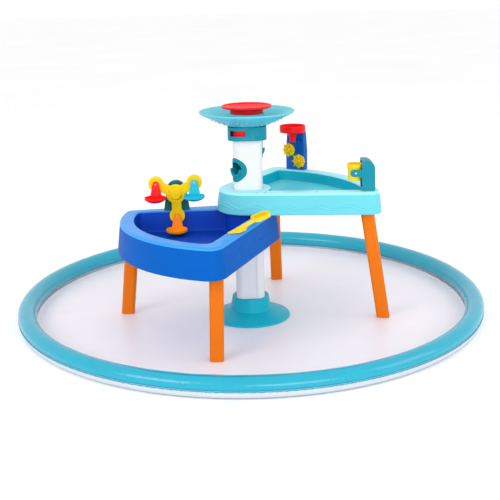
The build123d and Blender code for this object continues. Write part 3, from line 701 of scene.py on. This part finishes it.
def tray(name, node, z_top, z_bot, draft, floor_z, mats, top_r, basin_sigma, wave, z_under, floor_fn=None, grid=0.005):
    rim = loops_at(node, z_top)
    outer, inner, hole = rim[0], rim[1], rim[2]
    O = soften(outer, 0.0020, 0.0025)
    n_o = outward(O)
    _, L = resample(O, len(O))
    s_mm = np.linspace(0, L * 1000, len(O), endpoint=False)
    B = Build()
    # outer wall: rounded shoulder, wall with the wave relief, rolled foot, inner return
    rows = []
    for a in np.linspace(90, 0, 9):
        r = math.radians(a)
        rows.append((-top_r + top_r * math.cos(r), z_top - top_r + top_r * math.sin(r), 0.0))
    zt, zb = z_top - top_r, z_bot + 0.004
    zs = [zt]
    w_hi, w_lo = wave["z0"] + wave["amp"] * MM + 0.004, wave["z0"] - (wave["amp"] + wave["gap"]) * MM - 0.004
    zs += list(np.linspace(zt, w_hi, 5)[1:])
    zs += list(np.linspace(w_hi, w_lo, 42)[1:])
    zs += list(np.linspace(w_lo, zb, 7)[1:])
    for z in zs[1:]:
        t = (zt - z) / (zt - z_bot)
        rows.append((draft * t, z, 1.0))
    off_b = rows[-1][0]
    for a in (-20, -45, -70, -90):
        r = math.radians(a)
        rows.append((off_b - 0.003 + 0.003 * math.cos(r), zb + 0.004 * math.sin(r), 0.0))
    rows.append((off_b - 0.0045, z_bot, 0.0))
    rows.append((off_b - 0.0060, z_bot + 0.0015, 0.0))
    rows.append((off_b - 0.0075, z_under, 0.0))
    rings = []
    for off, z, w in rows:
        d = np.full(len(O), off)
        if w:
            zz = np.full(len(O), z * 1000)
            hgt = wave_lines(s_mm, zz, wave["period"], wave["z0"] * 1000, wave["phase"], wave["width"], wave["gap"], wave["amp"])
            d = d + wave["height"] * hgt * wave["mask"](O)
        rings.append(B.ring(O + n_o * d[:, None], z))
    for i, (a, b) in enumerate(zip(rings, rings[1:])):
        # material 1 on the shoulder rows is the rim copy with the painted sheen
        B.cur = 1 if i < 8 else 0
        B.skin(a, b)
    under = (O + n_o * rows[-1][0])
    # basin wall
    I = soften(inner, 0.0022, basin_sigma)
    n_i = outward(I)
    r_in = 0.0055
    rows_i = []
    for a in np.linspace(90, 0, 7):
        r = math.radians(a)
        rows_i.append((r_in - r_in * math.cos(r), z_top - r_in + r_in * math.sin(r), None))
    f_in = 0.006
    zf_at = floor_fn(I) if floor_fn else np.full(len(I), floor_z)
    ring0 = []
    for off, z, _ in rows_i:
        ring0.append(B.ring(I + n_i * off, z))
    wall_draft = 0.004
    for t in np.linspace(0, 1, 6)[1:]:
        z = (z_top - r_in) * (1 - t) + (zf_at + f_in) * t
        ring0.append(B.ring(I - n_i * (wall_draft * t), z))
    for a in (25, 50, 72, 90):
        r = math.radians(a)
        ring0.append(B.ring(I - n_i * (wall_draft + f_in * (1 - math.cos(r))), zf_at + f_in * (1 - math.sin(r))))
    for i, (a, b) in enumerate(zip(ring0, ring0[1:])):
        # material 1 on the top rounding carries the painted sheen, material 2 down the wall the painted shade
        B.cur = 1 if i < 5 else 2
        B.skin(a, b, flip=True)
    base = I - n_i * (wall_draft + f_in)
    lo, hi = base.min(0), base.max(0)
    gx, gy = np.meshgrid(np.arange(lo[0], hi[0], grid), np.arange(lo[1], hi[1], grid))
    G = np.stack([gx.ravel(), gy.ravel()], 1)
    G = G[inside(base, G)]
    G = G[dist_to(base, G) > grid * 0.6]
    zf = (lambda p: floor_fn(p)) if floor_fn else (lambda p: np.full(len(p), floor_z))
    # material 3: the basin floor copy, painted light on the teal tray and painted shade on the blue
    B.cur = 3
    B.fill(base, [], zf, G, up=True)
    # material 1 again for the column hole and the flat rim top: the painted-sheen copy
    B.cur = 1
    # column hole
    H = soften(hole, 0.003, 0.001)
    n_h = outward(H)
    hr = [B.ring(H + n_h * 0.0016, z_top), B.ring(H + n_h * 0.0005, z_top - 0.0004), B.ring(H, z_top - 0.0016), B.ring(H, z_under)]
    for a, b in zip(hr, hr[1:]):
        B.skin(a, b, flip=True)
    # rim
    rim_outer = O - n_o * top_r
    rim_inner = I + n_i * r_in
    B.fill(rim_outer, [rim_inner, H + n_h * 0.0016], z_top, None, up=True)
    # underside plate
    B.cur = 0
    B.fill(under, [H], z_under, None, up=False)
    o = new_object(name, B.v, B.f, mats, "table", [node], smooth=38.0, merge=2e-6, face_mats=B.m)
    DONE.add(node)
    return o, O, I


def circle(r, n, cx=CX, cy=CY, a0=0.0):
    a = np.linspace(0, 2 * math.pi, n, endpoint=False) + a0
    return np.stack([cx + r * np.cos(a), cy + r * np.sin(a)], 1)


def round_rect(w, h, r, n_c=10, cx=CX, cy=CY, rot=0.0):
    pts = []
    for qx, qy, a0 in ((w / 2 - r, h / 2 - r, 0), (-w / 2 + r, h / 2 - r, 90), (-w / 2 + r, -h / 2 + r, 180), (w / 2 - r, -h / 2 + r, 270)):
        for k in range(n_c + 1):
            a = math.radians(a0 + 90.0 * k / n_c)
            pts.append((qx + r * math.cos(a), qy + r * math.sin(a)))
    p = np.array(pts)
    c, s_ = math.cos(rot), math.sin(rot)
    return np.stack([cx + p[:, 0] * c - p[:, 1] * s_, cy + p[:, 0] * s_ + p[:, 1] * c], 1)


def rounded_profile(pts, radii, seg=5):
    """Closed (r, z) profile in mm with every corner rounded."""
    n = len(pts)
    out = []
    for i in range(n):
        p = np.array(pts[i], float)
        a, b = np.array(pts[i - 1], float) - p, np.array(pts[(i + 1) % n], float) - p
        la, lb = np.hypot(*a), np.hypot(*b)
        r = radii if isinstance(radii, (int, float)) else radii[i]
        a, b = a / la, b / lb
        cosang = float(np.clip(a @ b, -1, 1))
        half = math.acos(cosang) / 2
        if r <= 0 or p[0] < 1e-6 or half > math.radians(88.5):
            out.append(tuple(p))
            continue
        d = min(r / math.tan(half), 0.46 * la, 0.46 * lb)
        rr = d * math.tan(half)
        mid = (a + b) / np.hypot(*(a + b))
        c = p + mid * (rr / math.sin(half))
        v0, v1 = p + a * d - c, p + b * d - c
        t0, t1 = math.atan2(v0[1], v0[0]), math.atan2(v1[1], v1[0])
        dt = (t1 - t0 + math.pi) % (2 * math.pi) - math.pi
        for k in range(seg + 1):
            t = t0 + dt * k / seg
            out.append((c[0] + rr * math.cos(t), c[1] + rr * math.sin(t)))
    return out


def split_long(prof, step):
    out = []
    n = len(prof)
    for i in range(n):
        p, q = np.array(prof[i]), np.array(prof[(i + 1) % n])
        k = max(1, int(math.hypot(*(q - p)) / step))
        for j in range(k):
            out.append(tuple(p + (q - p) * j / k))
    return out


def lathe(name, prof, n, mat, body, replaces, cx=CX, cy=CY, radii=1.0, smooth=42.0, warp=None, step=12.0):
    """Revolves a closed (r, z) profile in mm about a vertical axis."""
    prof = split_long(rounded_profile(prof, radii), step)
    V, F = [], []
    th = np.linspace(0, 2 * math.pi, n, endpoint=False)
    for r, z in prof:
        rr, zz = np.full(n, r), np.full(n, z)
        if warp:
            rr, zz = warp(rr, zz, th)
        V.extend(zip((cx + rr * MM * np.cos(th)).tolist(), (cy + rr * MM * np.sin(th)).tolist(), (zz * MM).tolist()))
    m = len(prof)
    for j in range(m):
        k = (j + 1) % m
        for i in range(n):
            i2 = (i + 1) % n
            F.append((j * n + i, j * n + i2, k * n + i2, k * n + i))
    o = new_object(name, V, F, mat, body, replaces, smooth=smooth, merge=2e-6)
    for r_ in replaces:
        DONE.add(r_)
    return o


# ---- the two trays
def upper_floor(p):
    poly = np.array([(60, -200), (430, -200), (150, 60), (120, 120), (60, 60)]) * MM + np.array([CX, CY])
    d = dist_to(poly, p)
    sd = np.where(inside(poly, p), d, -d)
    t = np.clip((sd + 0.004) / 0.012, 0, 1)
    return 0.424 - 0.016 * (t * t * (3 - 2 * t))


# materials: outer plastic, painted-sheen rim, painted-shade basin walls, painted-light basin floor
tray("tray_upper_look", "tray_upper", 0.460, 0.386, 0.007, 0.424, [M["teal_light"], M["teal_rim"], M["teal_inside"], M["teal_floor"]], 0.008, 0.007,
     {"period": 104.0, "z0": 0.4155, "phase": 30.0, "width": 1.7, "gap": 7.0, "amp": 6.5, "height": 0.0011, "mask": lambda o: np.ones(len(o))},
     0.4045, upper_floor, 0.0035)
# materials: outer plastic, painted-sheen rim, painted-shade basin walls and floor
tray("tray_lower_look", "tray_lower", 0.382, 0.282, 0.0113, 0.309, [M["blue"], M["blue_rim"], M["blue_inside"], M["blue_inside"]], 0.009, 0.008,
     {"period": 128.0, "z0": 0.331, "phase": 20.0, "width": 1.9, "gap": 8.0, "amp": 8.0, "height": 0.0008, "mask": lambda o: np.clip((o[:, 0] + 0.34) / 0.12, 0.15, 1)},
     0.3055, None, 0.006)

# ---- leg sockets under the trays
for key, (foot, top, z_leg, z0, z1, rot, mat, slot_) in {
    "right": ((458.0, -48.0), (391.0, -84.0), 403.0, 0.388, 0.4047, -8.0, "teal_light", "teal_light"),
    "back": ((104.0, 414.0), (92.0, 322.0), 403.0, 0.388, 0.4047, 0.0, "teal_light", "teal_light"),
    "front": ((-109.0, -411.0), (-102.6, -390.8), 294.5, 0.284, 0.3057, 0.0, "blue", "blue"),
    "left": ((-438.0, 51.0), (-402.0, 8.0), 294.5, 0.284, 0.3057, -5.0, "blue", "blue"),
}.items():
    B = Build()

    def at_leg(z):
        t = (z * 1000 - 2.0) / (z_leg - 2.0)
        return CX + (foot[0] + (top[0] - foot[0]) * t) * MM, CY + (foot[1] + (top[1] - foot[1]) * t) * MM

    rr = math.radians(rot)
    rings = []
    for z, grow, e in ((z1, 4.6, 0), (z0 + 0.0012, 4.2, 0), (z0, 3.2, 0), (z0, 1.9, 0), (z0 + 0.0012, 1.0, 0), (z1 - 0.0006, 0.9, 0)):
        x, y = at_leg(z)
        rings.append(B.ring(round_rect((44 + 2 * grow) * MM, (34 + 2 * grow) * MM, (5 + grow) * MM, 6, x, y, rr), z))
    for a, b in zip(rings, rings[1:]):
        B.skin(a, b)
    B.skin(rings[-1], rings[0])
    new_object("socket_" + key, B.v, B.f, M[mat], "table", (), smooth=38.0, merge=0)

# ---- base: spreading foot with a square opening for the column
B = Build()
prof = rounded_profile([(128, 2), (136, 2), (136, 7), (133.5, 9), (72, 31), (70.5, 34), (63, 76), (61, 78), (52, 78), (52, 30), (68, 27), (128, 5.5)],
                       [0.8, 1.6, 2, 2, 6, 3, 3, 2, 0, 0, 0, 0.8])
top_i = max(range(len(prof)), key=lambda i: (round(prof[i][1], 3), -prof[i][0]))
NB = 256
outer = split_long(prof, 6.0)
outer = [p for p in outer if not (p[0] < 60.5)]
outer_rings = []
for r, z in outer:
    outer_rings.append(B.ring(circle(r * MM, NB), z * MM))
# order: starts at the underside lip, runs out, up the cone and over the top edge, then back under
cut = max(range(len(outer)), key=lambda i: outer[i][1])
for a, b in zip(range(0, cut), range(1, cut + 1)):
    B.skin(outer_rings[a], outer_rings[b])
for a, b in zip(range(cut + 1, len(outer) - 1), range(cut + 2, len(outer))):
    B.skin(outer_rings[a], outer_rings[b])
B.skin(outer_rings[-1], outer_rings[0])
sq = round_rect(2 * 49.1 * MM, 2 * 49.1 * MM, 26.4 * MM, 14)
sq2 = round_rect(2 * 50.0 * MM, 2 * 50.0 * MM, 27.3 * MM, 14)
zt = outer[cut][1] * MM
r1, r2, r3 = B.ring(sq2, zt), B.ring(sq, zt - 0.0009), B.ring(sq, outer[cut + 1][1] * MM)
B.skin(r1, r2, flip=True)
B.skin(r2, r3, flip=True)
B.fill(circle(outer[cut][0] * MM, NB), [sq2], zt, None, up=True)
B.fill(circle(outer[cut + 1][0] * MM, NB), [sq], outer[cut + 1][1] * MM, None, up=False)
new_object("base_foot_look", B.v, B.f, M["teal_base"], "table", ["base_foot"], smooth=38.0, merge=2e-6)
DONE.add("base_foot")

# ---- turned parts on the column
lathe("rain_dish_look", [(20.4, 672), (60, 672), (76, 675), (155, 712), (158.5, 716), (158.5, 718.5), (156.5, 720), (152, 717.5), (82, 683.5), (59, 683.5), (58.5, 711), (20.4, 711)],
      288, M["teal_dish"], "table", ["rain_dish"], radii=[0.5, 6, 9, 10, 1.6, 1.4, 1.4, 8, 5, 2, 1.6, 1.0])
for k_, (rad, cnt, zb) in enumerate(((118.0, 24, 689.0), (97.0, 18, 679.0))):
    for i in range(cnt):
        a = 2 * math.pi * i / cnt
        lathe("dish_nozzle_%d_%02d" % (k_, i), [(0, zb + 2.6), (0.9, zb + 2.6), (0.9, zb + 2.0), (1.9, zb + 2.0), (2.5, zb + 6.5), (2.8, zb + 9.0), (0, zb + 9.0)], 20,
              M["teal_dish"], "table", (), cx=CX + rad * MM * math.cos(a), cy=CY + rad * MM * math.sin(a), radii=0.25, step=50.0)
lathe("top_bowl_look", [(32.2, 724.0), (55.5, 724.0), (80, 729.5), (83.6, 731), (83.6, 736), (82, 737.5), (79, 736.5), (74, 732.5), (50, 727.5)],
      224, M["red"], "diverter", ["top_bowl"], radii=[0, 2, 4, 1.6, 1.4, 1.3, 1.5, 4, 6])
lathe("bowl_neck_look", [(14, 640), (20, 640), (20, 711.6), (54.5, 711.6), (55.5, 724), (32.2, 724), (17, 721), (14, 719)],
      160, M["red"], "diverter", ["bowl_neck"], radii=[0.8, 0.8, 2, 1.2, 0.8, 0, 2, 1.5])


# ---- spinner: hub, lobes and hanging cups
def to_y(o, x0, z0, y0):
    """Turns a piece built about +Z at the column axis so that its +Z points to -Y at (x0, z0); mm, y from the column axis."""
    me = o.data
    for v in me.vertices:
        x, y, z = v.co
        v.co = (CX + x0 * MM + (x - CX), CY + y0 * MM - z, z0 * MM + (y - CY))
    me.update()
    return o


def plate(name, pts, radii, thick, mat, body, replaces, x0, z0, y0, hole=0.0, edge=0.9):
    """Rounded plate facing -Y: outline in (x, z) mm about (x0, z0), back face at y0."""
    q = np.array(rounded_profile([(a + 500.0, b) for a, b in pts], radii, 6))
    q[:, 0] -= 500.0
    x, y = q[:, 0], q[:, 1]
    if float((x * np.roll(y, -1) - y * np.roll(x, -1)).sum()) < 0:
        q = q[::-1]
    keep = np.hypot(*(np.roll(q, -1, 0) - q).T) > 1e-4
    q = q[keep] * MM
    n = outward(q)
    B = Build()
    e = edge * MM
    t = thick * MM
    rings = [B.ring(q - n * e, 0.0), B.ring(q - n * (0.3 * e), 0.3 * e), B.ring(q, e), B.ring(q, t - e), B.ring(q - n * (0.3 * e), t - 0.3 * e), B.ring(q - n * e, t)]
    for a, b in zip(rings, rings[1:]):
        B.skin(a, b)
    holes = []
    if hole:
        h = circle(hole * MM, 32, 0.0, 0.0)
        h1, h2 = B.ring(h, 0.0), B.ring(h, t)
        B.skin(h1, h2, flip=True)
        holes = [h]
    B.fill(q - n * e, holes, 0.0, None, up=False)
    B.fill(q - n * e, holes, t, None, up=True)
    V = [(CX + x0 * MM + a, CY + y0 * MM - c, z0 * MM + b) for a, b, c in B.v]
    o = new_object(name, V, B.f, mat, body, replaces, smooth=38.0, merge=2e-6)
    for r_ in replaces:
        DONE.add(r_)
    return o


SX, SZ, ARM, PHASE, CUP_Y, DROP = -246.0, 443.0, 75.0, 31.6, -47.5, 35.8
for i, (node, mat, slot_) in enumerate((("cup_teal", "teal_bright", "teal"), ("cup_red", "red", "red"), ("cup_orange", "orange_bright", "orange"))):
    a = math.radians(PHASE + 120 * i)
    px, pz = SX + ARM * math.cos(a), SZ + ARM * math.sin(a)
    t = pz - DROP
    body = BODY_OF[node]
    lathe(node + "_look", [(0, t - 17), (20, t - 17), (29, t - 13), (33, t - 8.5), (36, t - 8), (36, t - 4.6), (35.3, t - 4.2), (36, t - 3.8), (36, t), (33, t), (33, t - 7), (30, t - 8.5), (26.5, t - 11), (18, t - 13.5), (0, t - 13.5)],
          144, M[mat], body, [node], cx=CX + px * MM, cy=CY + CUP_Y * MM, radii=[0, 4, 4, 1.5, 0.9, 0.5, 0.3, 0.5, 1.3, 1.3, 1.6, 3, 4, 4, 0], step=4.0)
    plate(node + "_hanger", [(-8.6, 10.5), (8.6, 10.5), (18.6, -34.8), (16.8, -43.5), (-16.8, -43.5), (-18.6, -34.8)], [8, 8, 3, 2, 2, 3], 6.0, M[mat], body, [], px, pz, -10.5, hole=3.06)
    for k_, (x1, x2) in enumerate(((-6.6, -13.6), (0.0, 0.0), (6.6, 13.6))):
        z_hi = -6.0
        plate(node + "_rib_%d" % k_, [(x1 - 0.9, z_hi), (x1 + 0.9, z_hi), (x2 + 1.1, -31.0), (x2 - 1.1, -31.0)], 0.6, 1.6, M[mat], body, [], px, pz, -15.9, edge=0.45)
    # raised rings on the wheel's lobe behind the cup
    o = lathe("lobe_ring_%d" % i, [(17.2, 7.4), (20.4, 7.4), (20.4, 9.0), (17.2, 9.0)], 96, M["yellow"], "spinner", (), radii=0.6, step=50.0)
    to_y(o, px, pz, 0.0)
o = lathe("spinner_cap_look", [(0, 8.2), (19, 8.2), (19, 11.0), (17, 11.8), (17, 13.4), (13.0, 13.8), (12.2, 12.9), (8.6, 12.9), (7.8, 14.0), (0, 14.0)], 96, M["yellow"], "spinner", ["spinner_cap"], radii=[0, 0.6, 1.2, 0.8, 0.9, 0.5, 0.4, 0.4, 0.6, 0], step=50.0)
to_y(o, SX, SZ, 0.0)
o = lathe("spinner_hub_ring", [(25.0, 7.4), (29.5, 7.4), (29.5, 9.2), (25.0, 9.2)], 112, M["yellow"], "spinner", (), radii=0.7, step=50.0)
to_y(o, SX, SZ, 0.0)

# ---- funnel on the tower
ca, sa = math.cos(math.radians(-28.0)), math.sin(math.radians(-28.0))
FX, FY = CX + (181.0 + 0.5 * ca + 35.5 * sa) * MM, CY + (304.0 + 0.5 * sa - 35.5 * ca) * MM
lathe("funnel_look", [(8, 566), (10.5, 566), (11, 584), (20, 599), (45, 602), (46.5, 604), (46.5, 626), (42.5, 626), (42.5, 606), (18, 602), (8, 586)],
      144, M["red"], "table", ["funnel"], cx=FX, cy=FY, radii=[0.6, 0.6, 4, 8, 2, 1.5, 1.6, 1.4, 2.5, 5, 3], step=8.0)
B = Build()
TXY = (CX + 181.0 * MM, CY + 304.0 * MM)
blk = round_rect(56 * MM, 22 * MM, 3 * MM, 6, TXY[0], TXY[1], math.radians(-28.0))
nb = outward(blk)
rb = [B.ring(blk - nb * 0.0006, 0.5986), B.ring(blk, 0.5992), B.ring(blk, 0.6028), B.ring(blk - nb * 0.0008, 0.6036)]
for a, b in zip(rb, rb[1:]):
    B.skin(a, b)
B.fill(blk - nb * 0.0006, [], 0.5986, None, up=False)
B.fill(blk - nb * 0.0008, [], 0.6036, None, up=True)
new_object("funnel_saddle", B.v, B.f, M["red"], "table", (), smooth=38.0, merge=2e-6)

# ------------------------------------------------------------------ remaining nodes
WIDTH = {"leg_front": 0.0024, "leg_left": 0.0024, "leg_right": 0.0024, "leg_back": 0.0024, "spinner_post": 0.0022, "spinner_wheel": 0.0020, "tower": 0.0022,
         "bucket_post": 0.0015, "dish_collar": 0.0015, "window_frame_lower": 0.0022, "window_frame_upper": 0.0020, "valve_base": 0.0008, "valve_cap": 0.0007,
         "spinner_axle": 0.0005, "paddle_upper": 0.0004, "paddle_lower": 0.0004, "toy_scoop": 0.0010, "column_coupler": 0.0006}
for node in sorted(NODES):
    if node in DONE:
        continue
    cad_copy(node, M[SLOTS[node]], width=WIDTH.get(node, 0.0012))

# ------------------------------------------------------------------ studio
floor = bpy.data.meshes.new("studio_floor")
floor.from_pydata([(-30, -30, 0), (30, -30, 0), (30, 30, 0), (-30, 30, 0)], [], [(0, 1, 2, 3)])
fo = bpy.data.objects.new("studio_floor", floor)
SC.collection.objects.link(fo)
fm = Mat("studio_paper")
fm.link(fm.ramp(fm.noise(0.8, 2.0, 0.5), [(0.3, (0.97, 0.97, 0.97, 1)), (0.7, (0.99, 0.99, 0.99, 1))]), fm.b.inputs["Base Color"])
fm.b.inputs["Roughness"].default_value = 0.9
fm.b.inputs["Specular IOR Level"].default_value = 0.1
floor.materials.append(fm.m)
fo.location.z = -0.0002

world = bpy.data.worlds.new("studio")
SC.world = world
world.use_nodes = True
bg = world.node_tree.nodes["Background"]
bg.inputs["Color"].default_value = (1.0, 1.0, 1.0, 1.0)
bg.inputs["Strength"].default_value = 1.0


def area(name, loc, target, size, power, color=(1, 1, 1)):
    l = bpy.data.lights.new(name, "AREA")
    l.shape = "RECTANGLE"
    l.size, l.size_y = size
    l.energy = power
    l.color = color
    o = bpy.data.objects.new(name, l)
    o.location = loc
    o.rotation_euler = (Vector(target) - Vector(loc)).to_track_quat("-Z", "Y").to_euler()
    SC.collection.objects.link(o)
    return o


area("key", (-2.6, -2.8, 2.3), (0, 0, 0.4), (2.0, 1.6), 42)
area("front", (1.2, -4.2, 1.3), (0, 0, 0.35), (2.6, 1.6), 44)
area("fill", (3.2, -1.0, 1.8), (0, 0, 0.4), (1.8, 1.8), 16)

SC.view_settings.view_transform = "Standard"
SC.view_settings.look = "None"
SC.view_settings.exposure = 0.0

yaw, pitch, roll = 0.00036, 0.27792, -0.022385
cy_, sy_ = math.cos(yaw), math.sin(yaw)
cp_, sp_ = math.cos(pitch), math.sin(pitch)
fw = Vector((sy_ * cp_, cy_ * cp_, -sp_))
right = Vector((cy_, -sy_, 0.0))
up = right.cross(fw)
r2 = right * math.cos(roll) + up * math.sin(roll)
u2 = up * math.cos(roll) - right * math.sin(roll)
cam_data = bpy.data.cameras.new("camera")
cam_data.lens = 68.4
cam_data.sensor_width = 36.0
cam_data.sensor_fit = "HORIZONTAL"
cam_data.clip_start = 0.05
cam_data.clip_end = 100.0
cam = bpy.data.objects.new("camera", cam_data)
cam.matrix_world = Matrix(((r2.x, u2.x, -fw.x, 0.0), (r2.y, u2.y, -fw.y, -3.26595), (r2.z, u2.z, -fw.z, 1.13836), (0, 0, 0, 1)))
SC.collection.objects.link(cam)
SC.camera = cam
